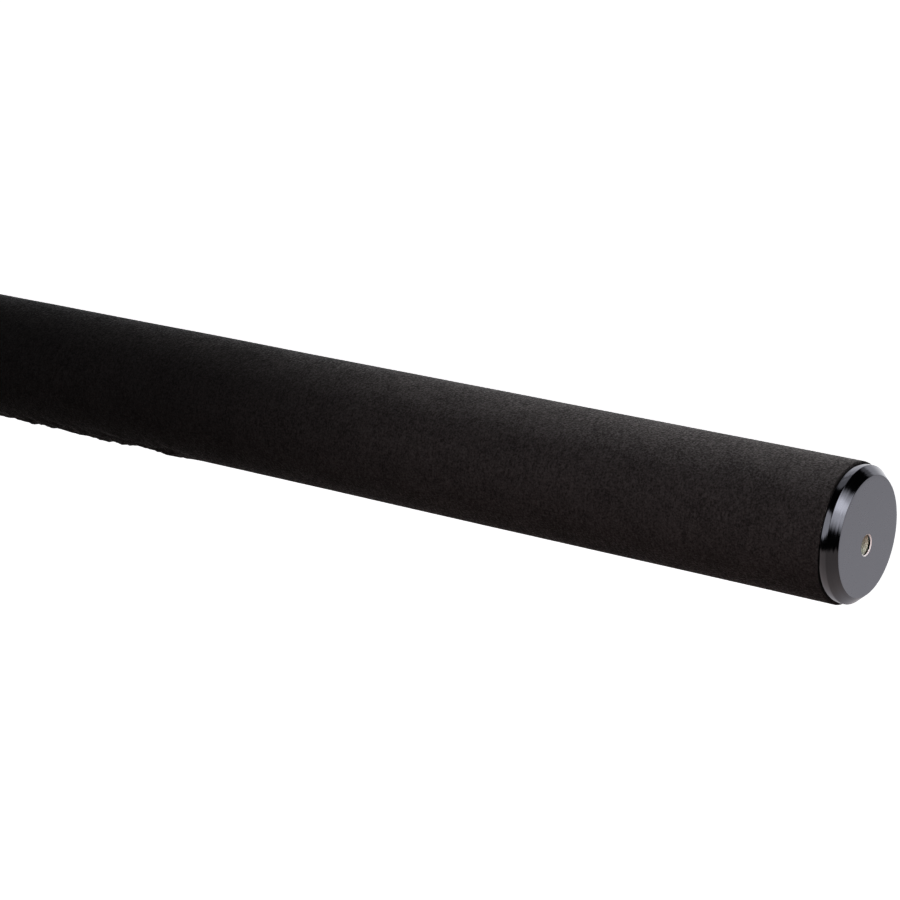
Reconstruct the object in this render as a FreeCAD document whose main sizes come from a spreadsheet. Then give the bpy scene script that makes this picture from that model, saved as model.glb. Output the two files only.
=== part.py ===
import FreeCAD, Part
import os
import re
import Sketcher

# Telescopic boom pole with five round aluminium sections and a twist lock at each joint.
# The pole lies along +X, base to tip, stowed and locked. The origin is the centre of the
# base tube's rear end, so the end cap reaches into -X. Sections and couplings are counted
# from the base: coupling 1 is at the front end of tube_1 and holds tube_2.

SECTIONS = 5
COLLET_SLOTS = 6
HALF_TURN = 0.5  # a lock opens in half a turn of its thread

SIZES = (
    # tubes
    ("base_tube_diameter", 32.0, "outside diameter of the base tube"),
    ("base_tube_length", 660.0, "length of the base tube"),
    ("tube_step", 4.0, "how much thinner each next tube is, on the diameter"),
    ("tube_wall", 1.2, "wall of every tube"),
    ("bond_gap", 0.05, "radial glue gap of bonded pieces"),
    ("running_gap", 0.1, "radial clearance of sliding bushes and collets"),
    # handle
    ("grip_wall", 3.95, "thickness of the foam sleeve"),
    ("grip_length", 560.0, "length of the foam sleeve"),
    ("seal_thickness", 0.5, "rubber seal between cap and tube"),
    ("seal_inset", 0.8, "how far the seal's rim stays inside the cap's flange"),
    ("cap_inset", 0.65, "how far the cap's flange stays inside the foam's surface"),
    ("cap_band", 2.05, "length of the flange's cylindrical band"),
    ("cap_chamfer_length", 2.55, "length of the flange's bevel along the axis"),
    ("cap_chamfer_depth", 2.3, "depth of the flange's bevel on the radius"),
    ("cap_end_wall", 6.5, "thickness of the cap's end wall"),
    ("cap_spigot_wall", 2.95, "wall of the cap's hollow threaded spigot"),
    ("cap_thread_gap", 0.05, "radial clearance of the cap's thread"),
    ("insert_wall", 2.75, "wall of the threaded ring in the base tube"),
    ("insert_length", 18.0, "length of the threaded ring and of the cap's spigot"),
    ("cap_hole_diameter", 5.6, "cable hole through the cap's end wall"),
    ("cap_hole_mouth", 6.4, "diameter of the cable hole's countersunk mouth"),
    ("cap_hole_side", 0.73, "hole centre from the axis, along Y"),
    ("cap_hole_drop", 2.23, "hole centre below the axis"),
    # rear guides of the moving tubes
    ("rear_room", 4.8, "gap from the cap's spigot to the first guide"),
    ("rear_step", 12.0, "how much further forward each next tube starts"),
    ("guide_length", 30.0, "length of a rear guide's sleeve"),
    ("guide_lip", 2.0, "thickness of a rear guide's end lip"),
    ("guide_lip_depth", 1.5, "how far the lip reaches inside the tube's bore"),
    # front ferrules and bushes
    ("ferrule_length", 20.0, "length of a threaded ferrule"),
    ("shoulder_length", 3.0, "length of the ferrule's shoulder"),
    ("shoulder_height", 3.5, "height of the ferrule's shoulder above its tube"),
    ("thread_height", 1.5, "height of the ferrule's thread above its tube"),
    ("thread_pitch", 2.0, "lead of the lock's thread"),
    ("thread_gap", 0.1, "radial clearance of the lock's thread"),
    ("edge_chamfer", 0.6, "small bevel on turned edges"),
    ("bush_skirt", 25.0, "length of a front bush inside its tube"),
    ("bush_flange", 1.5, "thickness of a front bush's flange"),
    # collets and cone rings
    ("collet_length", 12.0, "length of a collet"),
    ("collet_land", 0.6, "height of the collet's foot above its tube"),
    ("collet_foot", 4.5, "length of the collet's straight foot"),
    ("collet_nose", 1.2, "thickness of the collet's fingers at the tip"),
    ("collet_web", 3.0, "uncut length behind the collet's slots"),
    ("collet_slot", 1.2, "width of a collet slot"),
    ("cone_reach", 6.0, "how far a cone ring reaches over its collet"),
    ("cone_overhang", 1.0, "how far a cone ring stands past its collet"),
    ("cone_gap", 0.3, "radial gap between cone ring and collet"),
    ("cone_side_gap", 0.2, "cone ring's outside below the thread's radius"),
    # lock collars
    ("axial_gap", 0.1, "gap between a cone ring and its collar's inner face"),
    ("collar_height", 4.5, "height of a lock collar above its tube"),
    ("collar_rear_gap", 0.6, "gap from the ferrule's shoulder to the locked collar"),
    ("collar_rear_rim", 6.4, "plain rim behind the collar's grip ring"),
    ("collar_front_rim", 7.5, "plain rim in front of the collar's grip ring"),
    ("collar_bevel", 1.6, "bevel of the collar's front edge"),
    ("collar_lip", 1.7, "thickness of the collar's front lip"),
    ("collar_mouth_gap", 0.5, "radial gap from the lip to the moving tube"),
    ("grip_ring_depth", 1.2, "depth of the groove for the grip ring"),
    ("grip_ring_proud", 0.4, "how far the grip ring stands above the collar"),
    ("wiper_room", 3.0, "length of the wiper's pocket"),
    ("wiper_depth", 2.2, "height of the wiper's pocket above the moving tube"),
    ("wiper_thickness", 2.6, "thickness of the felt wiper"),
    ("wiper_gap", 0.15, "radial gap from the wiper to the moving tube"),
    ("stow_gap", 0.6, "gap from an open collar to the next ferrule when stowed"),
    # tip
    ("tip_reach", 5.0, "bare tube in front of the last open collar"),
    ("tip_spigot", 15.0, "length of the tip plug inside its tube"),
    ("tip_head_length", 14.0, "length of the tip plug's head"),
    ("tip_head_height", 2.0, "height of the tip plug's head above its tube"),
    ("flat_depth", 1.4, "depth of the two wrench flats on the head"),
    ("flat_length", 8.0, "length of the wrench flats"),
    ("flat_start", 3.0, "from the head's shoulder to the wrench flats"),
    ("washer_thickness", 1.5, "rubber washer under the microphone mount"),
    ("washer_inset", 0.6, "how far the washer stays inside the head's rim"),
    ("stud_diameter", 9.525, "three-eighths of an inch, 16 threads per inch"),
    ("stud_exposed", 12.0, "stud in front of the washer"),
    ("stud_neck_depth", 0.6, "depth of the thread's run-out groove under the washer"),
    ("stud_hole_depth", 12.0, "depth of the stud's hole in the head"),
    ("stud_floor_gap", 0.2, "gap under the stud in its hole"),
)

doc = FreeCAD.newDocument("BoomPole")
nodes = []


def make_sheet():
    """The driving sizes: a name, a number and a note on each row."""
    sheet = doc.addObject("Spreadsheet::Sheet", "Sizes")
    for row, (name, value, note) in enumerate(SIZES, start=1):
        sheet.set(f"A{row}", name)
        sheet.set(f"B{row}", str(value))
        sheet.setAlias(f"B{row}", name)
        sheet.set(f"C{row}", note)
    doc.recompute()


def bound(text):
    """A formula in the sheet's names, as FreeCAD writes it."""
    return re.sub(r"[a-z]\w*", r"Sizes.\g<0>", text)


# Formulas that several pieces share.

LOCK_TRAVEL = f"({HALF_TURN} * thread_pitch)"
COLLAR_SEAT = "(ferrule_length - shoulder_length - collar_rear_gap)"
COLLAR_OVERHANG = (
    "(bush_flange + collet_length + cone_overhang + axial_gap + wiper_room + collar_lip)"
)
COLLAR_LENGTH = f"({COLLAR_SEAT} + {COLLAR_OVERHANG})"
COUPLING_PITCH = f"({COLLAR_OVERHANG} + {LOCK_TRAVEL} + stow_gap + ferrule_length)"


def tube_radius(section):
    return f"(base_tube_diameter / 2 - {section - 1} * tube_step / 2)"


def bore_radius(section):
    return f"({tube_radius(section)} - tube_wall)"


def tube_rear(section):
    if section == 1:
        return "0"
    first = "insert_length - seal_thickness + rear_room + guide_lip"
    return f"({first} + {section - 2} * rear_step)"


def tube_front(section):
    if section < SECTIONS:
        return f"(base_tube_length + {section - 1} * {COUPLING_PITCH})"
    return f"({tube_front(section - 1)} + {COLLAR_OVERHANG} + {LOCK_TRAVEL} + tip_reach)"


def thread_radius(coupling):
    return f"({tube_radius(coupling)} + thread_height)"


def collar_radius(coupling):
    return f"({tube_radius(coupling)} + collar_height)"


def groove_radius(coupling):
    return f"({collar_radius(coupling)} - grip_ring_depth)"


def collet_foot_radius(coupling):
    return f"({tube_radius(coupling)} + collet_land)"


def collet_nose_radius(coupling):
    return f"({tube_radius(coupling + 1)} + collet_nose)"


def guided_radius(coupling):
    """Bore of the bush and collet that the next tube slides in."""
    return f"({tube_radius(coupling + 1)} + running_gap)"


def collar_rear(coupling):
    return f"({tube_front(coupling)} - {COLLAR_SEAT})"


FOAM_RADIUS = f"({tube_radius(1)} + bond_gap + grip_wall)"
FLANGE_RADIUS = f"({FOAM_RADIUS} - cap_inset)"
INSERT_BORE = f"({bore_radius(1)} - bond_gap - insert_wall)"
SPIGOT_RADIUS = f"({INSERT_BORE} - cap_thread_gap)"
TIP_HEAD_RADIUS = f"({tube_radius(SECTIONS)} + tip_head_height)"
TIP_FACE = f"({tube_front(SECTIONS)} + tip_head_length)"


# How pieces are made.


def new_body(label, rear):
    """An empty body whose own X = 0 lies at rear on the pole's axis."""
    body = doc.addObject("PartDesign::Body", label)
    body.Label = label
    body.setExpression("Placement.Base.x", bound(rear))
    nodes.append(body)
    return body


def new_sketch(body, role, name):
    sketch = body.newObject("Sketcher::SketchObject", f"{body.Name}_{name}")
    plane = [item for item in body.Origin.OriginFeatures if item.Role == role][0]
    sketch.AttachmentSupport = [(plane, "")]
    sketch.MapMode = "FlatFace"
    return sketch


def place_point(sketch, geometry, point, across, up):
    """Bind one sketch point's two distances from the sketch's origin to formulas."""
    for kind, axis, text in (("DistanceX", -2, across), ("DistanceY", -1, up)):
        if text == "0":
            sketch.addConstraint(Sketcher.Constraint("PointOnObject", geometry, point, axis))
            continue
        place = Sketcher.Constraint(kind, -1, 1, geometry, point, 1.0)
        constraint = sketch.addConstraint(place)
        sketch.setExpression(f"Constraints[{constraint}]", bound(text))


def draw_outline(sketch, corners):
    """A closed outline of straight lines; each corner is a pair of formulas."""
    count = len(corners)
    for number in range(count):
        # the corners start on a rough staircase, and their distances then place them
        start = FreeCAD.Vector(number + 1, number % 3 + 1, 0)
        end = FreeCAD.Vector((number + 1) % count + 1, (number + 1) % count % 3 + 1, 0)
        sketch.addGeometry(Part.LineSegment(start, end), False)
    for number in range(count):
        following = (number + 1) % count
        sketch.addConstraint(Sketcher.Constraint("Coincident", number, 2, following, 1))
    for number, (across, up) in enumerate(corners):
        place_point(sketch, number, 1, across, up)


def draw_circle(sketch, radius, across="0", up="0"):
    circle = Part.Circle(FreeCAD.Vector(0, 0, 0), FreeCAD.Vector(0, 0, 1), 1.0)
    geometry = sketch.addGeometry(circle, False)
    constraint = sketch.addConstraint(Sketcher.Constraint("Radius", geometry, 1.0))
    sketch.setExpression(f"Constraints[{constraint}]", bound(radius))
    place_point(sketch, geometry, 3, across, up)


def ring(label, rear, length, inner, outer):
    """A plain tube along the axis: two circles, extruded forwards."""
    body = new_body(label, rear)
    sketch = new_sketch(body, "YZ_Plane", "section")
    draw_circle(sketch, outer)
    draw_circle(sketch, inner)
    pad = body.newObject("PartDesign::Pad", f"{label}_pad")
    pad.Profile = sketch
    pad.setExpression("Length", bound(length))
    return body


def turned(label, rear, corners):
    """A piece turned on a lathe: an outline of (along, radius) corners, revolved."""
    body = new_body(label, rear)
    sketch = new_sketch(body, "XY_Plane", "outline")
    draw_outline(sketch, corners)
    turn = body.newObject("PartDesign::Revolution", f"{label}_turn")
    turn.Profile = sketch
    turn.ReferenceAxis = (sketch, ["H_Axis"])
    turn.Angle = 360
    return body


def cut_around(body, corners, count):
    """Cut an outline out of the body on one side of the axis, repeated around it."""
    doc.recompute()
    before = body.Shape.Volume
    sketch = new_sketch(body, "XY_Plane", "cut")
    draw_outline(sketch, corners)
    pocket = body.newObject("PartDesign::Pocket", f"{body.Name}_pocket")
    pocket.Profile = sketch
    pocket.Type = "ThroughAll"
    pattern = body.newObject("PartDesign::PolarPattern", f"{body.Name}_pattern")
    pattern.Originals = [pocket]
    pattern.Axis = ([item for item in body.Origin.OriginFeatures if item.Role == "X_Axis"][0], [""])
    pattern.Angle = 360
    pattern.Occurrences = count
    body.Tip = pattern
    doc.recompute()
    if body.Shape.Volume >= before:
        raise RuntimeError(f"{body.Label}: the cut removed nothing")


# The handle.


def make_end_cap():
    """Flanged screw-in cap with an off-centre cable hole through its end wall."""
    back = "cap_chamfer_length + cap_band"
    corners = (
        ("0", "0"),
        ("0", f"{FLANGE_RADIUS} - cap_chamfer_depth"),
        ("cap_chamfer_length", FLANGE_RADIUS),
        (back, FLANGE_RADIUS),
        (back, SPIGOT_RADIUS),
        (f"{back} + insert_length - edge_chamfer", SPIGOT_RADIUS),
        (f"{back} + insert_length", f"{SPIGOT_RADIUS} - edge_chamfer"),
        (f"{back} + insert_length", f"{SPIGOT_RADIUS} - cap_spigot_wall"),
        ("cap_end_wall", f"{SPIGOT_RADIUS} - cap_spigot_wall"),
        ("cap_end_wall", "0"),
    )
    body = turned("end_cap", f"0 - seal_thickness - ({back})", corners)
    doc.recompute()
    before = body.Shape.Volume
    sketch = new_sketch(body, "YZ_Plane", "hole_centre")
    draw_circle(sketch, "cap_hole_diameter / 2", "cap_hole_side", "0 - cap_hole_drop")
    hole = body.newObject("PartDesign::Hole", "end_cap_hole")
    hole.Profile = sketch
    doc.recompute()
    hole.Reversed = True
    hole.DepthType = "Dimension"
    hole.DrillPoint = "Flat"
    hole.HoleCutType = "Countersink"
    hole.HoleCutCountersinkAngle = 90
    hole.setExpression("Diameter", bound("cap_hole_diameter"))
    hole.setExpression("HoleCutDiameter", bound("cap_hole_mouth"))
    hole.setExpression("Depth", bound("cap_end_wall + edge_chamfer"))
    doc.recompute()
    if body.Shape.Volume >= before:
        raise RuntimeError("end_cap: the hole removed nothing")


def make_handle():
    """The cap, its seal and thread, and the foam sleeve bonded to the base tube."""
    make_end_cap()
    ring(
        "cap_seal",
        "0 - seal_thickness",
        "seal_thickness",
        INSERT_BORE,
        f"{FLANGE_RADIUS} - seal_inset",
    )
    ring("base_insert", "0", "insert_length", INSERT_BORE, f"{bore_radius(1)} - bond_gap")
    ring("foam_grip", "0", "grip_length", f"{tube_radius(1)} + bond_gap", FOAM_RADIUS)


# The telescoping sections.


def make_tube(section):
    length = f"{tube_front(section)} - {tube_rear(section)}"
    ring(
        f"tube_{section}",
        tube_rear(section),
        length,
        bore_radius(section),
        tube_radius(section),
    )


def make_guide_bush(section):
    """Nylon guide on a moving tube's rear end; its lip stops the next tube."""
    outer = f"{bore_radius(section - 1)} - running_gap"
    inner = f"{tube_radius(section)} + bond_gap"
    lip = f"{bore_radius(section)} - guide_lip_depth"
    corners = (
        ("0", lip),
        ("0", outer),
        ("guide_lip + guide_length", outer),
        ("guide_lip + guide_length", inner),
        ("guide_lip", inner),
        ("guide_lip", lip),
    )
    turned(f"guide_bush_{section}", f"{tube_rear(section)} - guide_lip", corners)


# The twist locks.


def make_ferrule(coupling):
    """Threaded sleeve bonded over the front end of a tube."""
    inner = f"{tube_radius(coupling)} + bond_gap"
    shoulder = f"{tube_radius(coupling)} + shoulder_height"
    thread = thread_radius(coupling)
    corners = (
        ("0", inner),
        ("0", f"{shoulder} - edge_chamfer"),
        ("edge_chamfer", shoulder),
        ("shoulder_length", shoulder),
        ("shoulder_length", thread),
        ("ferrule_length - edge_chamfer", thread),
        ("ferrule_length", f"{thread} - edge_chamfer"),
        ("ferrule_length", inner),
    )
    turned(f"ferrule_{coupling}", f"{tube_front(coupling)} - ferrule_length", corners)


def make_front_bush(coupling):
    """Nylon bush in the tube's mouth; its flange seats the collet."""
    bore = guided_radius(coupling)
    skirt = f"{bore_radius(coupling)} - bond_gap"
    flange = collet_foot_radius(coupling)
    corners = (
        ("0", bore),
        ("0", skirt),
        ("bush_skirt", skirt),
        ("bush_skirt", flange),
        ("bush_skirt + bush_flange", flange),
        ("bush_skirt + bush_flange", bore),
    )
    turned(f"front_bush_{coupling}", f"{tube_front(coupling)} - bush_skirt", corners)


def make_collet(coupling):
    """Slotted tapered collet that grips the next tube when its cone is pressed."""
    bore = guided_radius(coupling)
    foot = collet_foot_radius(coupling)
    corners = (
        ("0", bore),
        ("0", foot),
        ("collet_foot", foot),
        ("collet_length", collet_nose_radius(coupling)),
        ("collet_length", bore),
    )
    body = turned(f"collet_{coupling}", f"{tube_front(coupling)} + bush_flange", corners)
    past_end = "collet_length + edge_chamfer"
    slot = (
        ("collet_web", "0 - collet_slot / 2"),
        (past_end, "0 - collet_slot / 2"),
        (past_end, "collet_slot / 2"),
        ("collet_web", "collet_slot / 2"),
    )
    cut_around(body, slot, COLLET_SLOTS)


def make_cone_ring(coupling):
    """Brass ring with an inner cone, which the collar presses on the collet."""
    foot = collet_foot_radius(coupling)
    nose = collet_nose_radius(coupling)
    taper = f"({foot} - {nose}) / (collet_length - collet_foot)"
    outer = f"{thread_radius(coupling)} - cone_side_gap"
    length = "cone_reach + cone_overhang"
    corners = (
        ("0", f"{nose} + cone_gap + {taper} * cone_reach"),
        ("0", outer),
        (length, outer),
        (length, f"{nose} + cone_gap"),
        ("cone_reach", f"{nose} + cone_gap"),
    )
    rear = f"{tube_front(coupling)} + bush_flange + collet_length - cone_reach"
    turned(f"cone_ring_{coupling}", rear, corners)


def make_lock_collar(coupling):
    """Turned collar on the ferrule's thread, with a wiper pocket in its front end."""
    bore = f"{thread_radius(coupling)} + thread_gap"
    outer = collar_radius(coupling)
    groove = groove_radius(coupling)
    pocket = f"{tube_radius(coupling + 1)} + wiper_depth"
    mouth = f"{tube_radius(coupling + 1)} + collar_mouth_gap"
    groove_front = f"{COLLAR_LENGTH} - collar_front_rim"
    pocket_front = f"{COLLAR_LENGTH} - collar_lip"
    pocket_rear = f"{pocket_front} - wiper_room"
    corners = (
        ("0", bore),
        ("0", f"{outer} - edge_chamfer"),
        ("edge_chamfer", outer),
        ("collar_rear_rim", outer),
        ("collar_rear_rim", groove),
        (groove_front, groove),
        (groove_front, outer),
        (f"{COLLAR_LENGTH} - collar_bevel", outer),
        (COLLAR_LENGTH, f"{outer} - collar_bevel"),
        (COLLAR_LENGTH, mouth),
        (pocket_front, mouth),
        (pocket_front, pocket),
        (pocket_rear, pocket),
        (pocket_rear, bore),
    )
    turned(f"lock_collar_{coupling}", collar_rear(coupling), corners)


def make_collar_grip(coupling):
    """Rubber grip ring bonded in the collar's groove."""
    ring(
        f"collar_grip_{coupling}",
        f"{collar_rear(coupling)} + collar_rear_rim",
        f"{COLLAR_LENGTH} - collar_rear_rim - collar_front_rim",
        f"{groove_radius(coupling)} + bond_gap",
        f"{collar_radius(coupling)} + grip_ring_proud",
    )


def make_wiper_ring(coupling):
    """Felt ring in the collar's pocket, which wipes the moving tube."""
    moving = tube_radius(coupling + 1)
    front = f"{tube_front(coupling)} + {COLLAR_OVERHANG} - collar_lip"
    ring(
        f"wiper_ring_{coupling}",
        f"{front} - (wiper_room + wiper_thickness) / 2",
        "wiper_thickness",
        f"{moving} + wiper_gap",
        f"{moving} + wiper_depth - bond_gap",
    )


def make_coupling(coupling):
    make_ferrule(coupling)
    make_front_bush(coupling)
    make_collet(coupling)
    make_cone_ring(coupling)
    make_lock_collar(coupling)
    make_collar_grip(coupling)
    make_wiper_ring(coupling)


# The tip.


def make_tip_plug():
    """Plug in the last tube, with a head for the stud and two wrench flats."""
    head = "(tip_spigot + tip_head_length)"
    spigot = f"{bore_radius(SECTIONS)} - bond_gap"
    stud_hole = "stud_diameter / 2 + bond_gap"
    corners = (
        ("0", "0"),
        ("0", f"{spigot} - edge_chamfer"),
        ("edge_chamfer", spigot),
        ("tip_spigot", spigot),
        ("tip_spigot", TIP_HEAD_RADIUS),
        (f"{head} - edge_chamfer", TIP_HEAD_RADIUS),
        (head, f"{TIP_HEAD_RADIUS} - edge_chamfer"),
        (head, stud_hole),
        (f"{head} - stud_hole_depth", stud_hole),
        (f"{head} - stud_hole_depth", "0"),
    )
    body = turned("tip_plug", f"{tube_front(SECTIONS)} - tip_spigot", corners)
    # each flat is a slab cut from the head, above a plane that lies flat_depth below its top
    doc.recompute()
    before = body.Shape.Volume
    sketch = new_sketch(body, "XY_Plane", "flat")
    start = "tip_spigot + flat_start"
    rim = f"{TIP_HEAD_RADIUS} + edge_chamfer"
    flat = f"{TIP_HEAD_RADIUS} - flat_depth"
    draw_outline(
        sketch,
        (
            (start, flat),
            (f"{start} + flat_length", flat),
            (f"{start} + flat_length", rim),
            (start, rim),
        ),
    )
    pocket = body.newObject("PartDesign::Pocket", "tip_plug_flat")
    pocket.Profile = sketch
    pocket.Type = "Length"
    pocket.SideType = "Symmetric"
    pocket.setExpression("Length", bound(f"2 * {rim}"))
    pattern = body.newObject("PartDesign::PolarPattern", "tip_plug_flats")
    pattern.Originals = [pocket]
    pattern.Axis = ([item for item in body.Origin.OriginFeatures if item.Role == "X_Axis"][0], [""])
    pattern.Angle = 360
    pattern.Occurrences = 2
    body.Tip = pattern
    doc.recompute()
    if body.Shape.Volume >= before:
        raise RuntimeError("tip_plug: the flats removed nothing")


def make_tip():
    make_tip_plug()
    ring(
        "tip_washer",
        TIP_FACE,
        "washer_thickness",
        "stud_diameter / 2 + bond_gap",
        f"{TIP_HEAD_RADIUS} - washer_inset",
    )
    embedded = "(stud_hole_depth - stud_floor_gap)"
    stud = "stud_diameter / 2"
    neck = f"{stud} - stud_neck_depth"
    length = f"({embedded} + washer_thickness + stud_exposed)"
    corners = (
        ("0", "0"),
        ("0", f"{stud} - edge_chamfer"),
        ("edge_chamfer", stud),
        (embedded, stud),
        (embedded, neck),
        (f"{embedded} + washer_thickness", neck),
        (f"{embedded} + washer_thickness", stud),
        (f"{length} - edge_chamfer", stud),
        (length, f"{stud} - edge_chamfer"),
        (length, "0"),
    )
    turned("tip_stud", f"{TIP_FACE} - {embedded}", corners)


def check_and_export():
    """Stop at anything that failed to build, then write one file for each piece."""
    doc.recompute()
    for item in doc.Objects:
        if "Invalid" in item.State or "Error" in item.State:
            raise RuntimeError(f"{item.Label} did not build: {item.State}")
    os.makedirs("parts", exist_ok=True)
    whole = FreeCAD.BoundBox()
    for body in nodes:
        if body.Shape.isNull() or not body.Shape.isValid() or len(body.Shape.Solids) != 1:
            raise RuntimeError(f"{body.Label} is not one valid solid")
        whole.add(body.Shape.BoundBox)
        body.Shape.exportStep(f"parts/{body.Label}.step")
    print(len(nodes), "pieces, from", whole.XMin, "to", whole.XMax, "along the pole")


make_sheet()
make_handle()
for section in range(1, SECTIONS + 1):
    make_tube(section)
for section in range(2, SECTIONS + 1):
    make_guide_bush(section)
for coupling in range(1, SECTIONS):
    make_coupling(coupling)
make_tip()
check_and_export()
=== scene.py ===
"""Telescopic boom pole with a foam grip: its soft and turned pieces, finishes and studio."""

import math

import bmesh
import bpy
from bpy.props import FloatProperty, FloatVectorProperty, IntProperty, PointerProperty
from mathutils import Matrix, Vector


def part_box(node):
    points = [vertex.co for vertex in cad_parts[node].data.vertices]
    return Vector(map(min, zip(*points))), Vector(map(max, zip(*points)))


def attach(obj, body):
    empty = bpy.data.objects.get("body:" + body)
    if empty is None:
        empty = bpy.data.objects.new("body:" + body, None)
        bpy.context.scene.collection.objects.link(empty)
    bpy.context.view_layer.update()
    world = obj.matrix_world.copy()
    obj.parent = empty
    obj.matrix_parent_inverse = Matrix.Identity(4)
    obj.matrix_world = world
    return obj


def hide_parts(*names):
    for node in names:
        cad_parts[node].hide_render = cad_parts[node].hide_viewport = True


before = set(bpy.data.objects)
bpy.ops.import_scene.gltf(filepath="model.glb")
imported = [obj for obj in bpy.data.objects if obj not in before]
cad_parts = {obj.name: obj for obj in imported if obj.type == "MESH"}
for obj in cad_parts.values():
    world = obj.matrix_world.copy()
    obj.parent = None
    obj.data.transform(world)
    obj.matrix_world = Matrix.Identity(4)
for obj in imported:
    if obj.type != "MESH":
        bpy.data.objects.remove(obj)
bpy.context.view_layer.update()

bl_info = {
    "name": "Boom Pole",
    "version": (1, 0, 0),
    "blender": (4, 5, 0),
    "location": "View3D > Sidebar > Boom Pole",
    "description": "Foam grip, turned end cap, locking collars and tip of a telescopic boom pole",
    "category": "Add Mesh",
}

COUPLINGS = (1, 2, 3, 4)
TAU = 2 * math.pi


def outer_radius(name):
    """Outside radius of a turned CAD node."""
    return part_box(name)[1].y


def span(name):
    """Rear and front end of a CAD node along the pole."""
    low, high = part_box(name)
    return low.x, high.x


# Meshes.


def ring_points(x, radius, sides, y=0.0, z=0.0):
    return [
        (x, y + radius * math.cos(TAU * i / sides), z + radius * math.sin(TAU * i / sides))
        for i in range(sides)
    ]


def ring_strip(first, second, sides):
    """Faces between two rings of the same number of points."""
    faces = []
    for i in range(sides):
        following = (i + 1) % sides
        faces.append((first + i, first + following, second + following, second + i))
    return faces


def new_object(name, points, faces):
    mesh = bpy.data.meshes.new(name)
    mesh.from_pydata(points, [], faces)
    made = bpy.data.objects.new(name, mesh)
    bpy.context.scene.collection.objects.link(made)
    return made


def turned_tube(name, rings, sides):
    """A closed ring turned round the axis. Each of its rings is x, radius and the centre's y, z."""
    points, faces = [], []
    for ring in rings:
        points += ring_points(ring[0], ring[1], sides, *ring[2:])
    for index in range(len(rings)):
        faces += ring_strip(index * sides, (index + 1) % len(rings) * sides, sides)
    return new_object(name, points, faces)


def settle(piece, sharp_degrees=28):
    """Close the seams, turn the faces outwards and shade smoothly between sharp edges."""
    mesh = piece.data
    work = bmesh.new()
    work.from_mesh(mesh)
    bmesh.ops.remove_doubles(work, verts=work.verts, dist=1e-7)
    bmesh.ops.dissolve_degenerate(work, edges=work.edges, dist=1e-8)
    bmesh.ops.recalc_face_normals(work, faces=work.faces)
    work.to_mesh(mesh)
    work.free()
    mesh.shade_smooth()
    mesh.set_sharp_from_angle(angle=math.radians(sharp_degrees))
    mesh.update()


def rounded(corner_x, corner_radius, size, start, steps=4):
    """A quarter round of a profile's corner, from the angle start, in degrees, a right angle on."""
    centre_x = corner_x - size * math.copysign(1, math.cos(math.radians(start + 45)))
    centre_radius = corner_radius - size * math.copysign(1, math.sin(math.radians(start + 45)))
    points = []
    for step in range(steps + 1):
        angle = math.radians(start + 90 * step / steps)
        points.append((centre_x + size * math.cos(angle), centre_radius + size * math.sin(angle)))
    return points


def even(first, last, count):
    """count points between first and last, both left out."""
    return [first + (last - first) * i / (count + 1) for i in range(1, count + 1)]


# Nodes, for finishes and for shapes alike.


def put(tree, kind, inputs, **settings):
    """A new node. Its inputs are sockets to link, or plain values."""
    made = tree.nodes.new(kind)
    for name, value in settings.items():
        setattr(made, name, value)
    for key, value in inputs.items():
        if isinstance(value, bpy.types.NodeSocket):
            tree.links.new(value, made.inputs[key])
        else:
            made.inputs[key].default_value = value
    return made


def sum_of(tree, *terms):
    total = terms[0]
    for term in terms[1:]:
        total = put(tree, "ShaderNodeMath", {0: total, 1: term}, operation="ADD").outputs[0]
    return total


def times(tree, *factors):
    total = factors[0]
    for factor in factors[1:]:
        total = put(tree, "ShaderNodeMath", {0: total, 1: factor}, operation="MULTIPLY").outputs[0]
    return total


def ramp_between(tree, value, low, high, out_low=0.0, out_high=1.0):
    """A smooth step from out_low to out_high while value goes from low to high."""
    inputs = {0: value, 1: low, 2: high, 3: out_low, 4: out_high}
    return put(tree, "ShaderNodeMapRange", inputs, interpolation_type="SMOOTHSTEP").outputs[0]


def grain(tree, position, scale, detail=2.0, roughness=0.5):
    """Noise with its own scale along each axis, in features for each metre."""
    stretched = put(tree, "ShaderNodeVectorMath", {0: position, 1: scale}, operation="MULTIPLY")
    inputs = {"Vector": stretched.outputs[0], "Scale": 1.0, "Detail": detail}
    return put(tree, "ShaderNodeTexNoise", {**inputs, "Roughness": roughness}).outputs[0]


def new_shape_tree(name, sizes):
    """A geometry node tree with its input and output, and one named input for each size."""
    tree = bpy.data.node_groups.new(name, "GeometryNodeTree")
    tree.interface.new_socket("Geometry", in_out="INPUT", socket_type="NodeSocketGeometry")
    for size in sizes:
        tree.interface.new_socket(size, in_out="INPUT", socket_type="NodeSocketFloat")
    tree.interface.new_socket("Finish", in_out="INPUT", socket_type="NodeSocketMaterial")
    tree.interface.new_socket("Geometry", in_out="OUTPUT", socket_type="NodeSocketGeometry")
    return tree, tree.nodes.new("NodeGroupInput").outputs


def end_shape_tree(tree, geometry, finish):
    solid = put(tree, "GeometryNodeRealizeInstances", {0: geometry})
    painted = put(tree, "GeometryNodeSetMaterial", {"Geometry": solid.outputs[0], "Material": finish})
    put(tree, "NodeGroupOutput", {0: painted.outputs[0]})


def shape_with(piece, tree, values):
    """Run a shape tree on a piece and keep its result as the piece's plain mesh."""
    modifier = piece.modifiers.new(tree.name, "NODES")
    modifier.node_group = tree
    for item in tree.interface.items_tree:
        if item.in_out == "INPUT" and item.name in values:
            modifier[item.identifier] = values[item.name]
    bpy.context.view_layer.update()
    shaped = piece.evaluated_get(bpy.context.evaluated_depsgraph_get())
    mesh = bpy.data.meshes.new_from_object(shaped)
    piece.modifiers.clear()
    before = piece.data
    piece.data = mesh
    bpy.data.meshes.remove(before)
    mesh.name = piece.name


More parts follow.
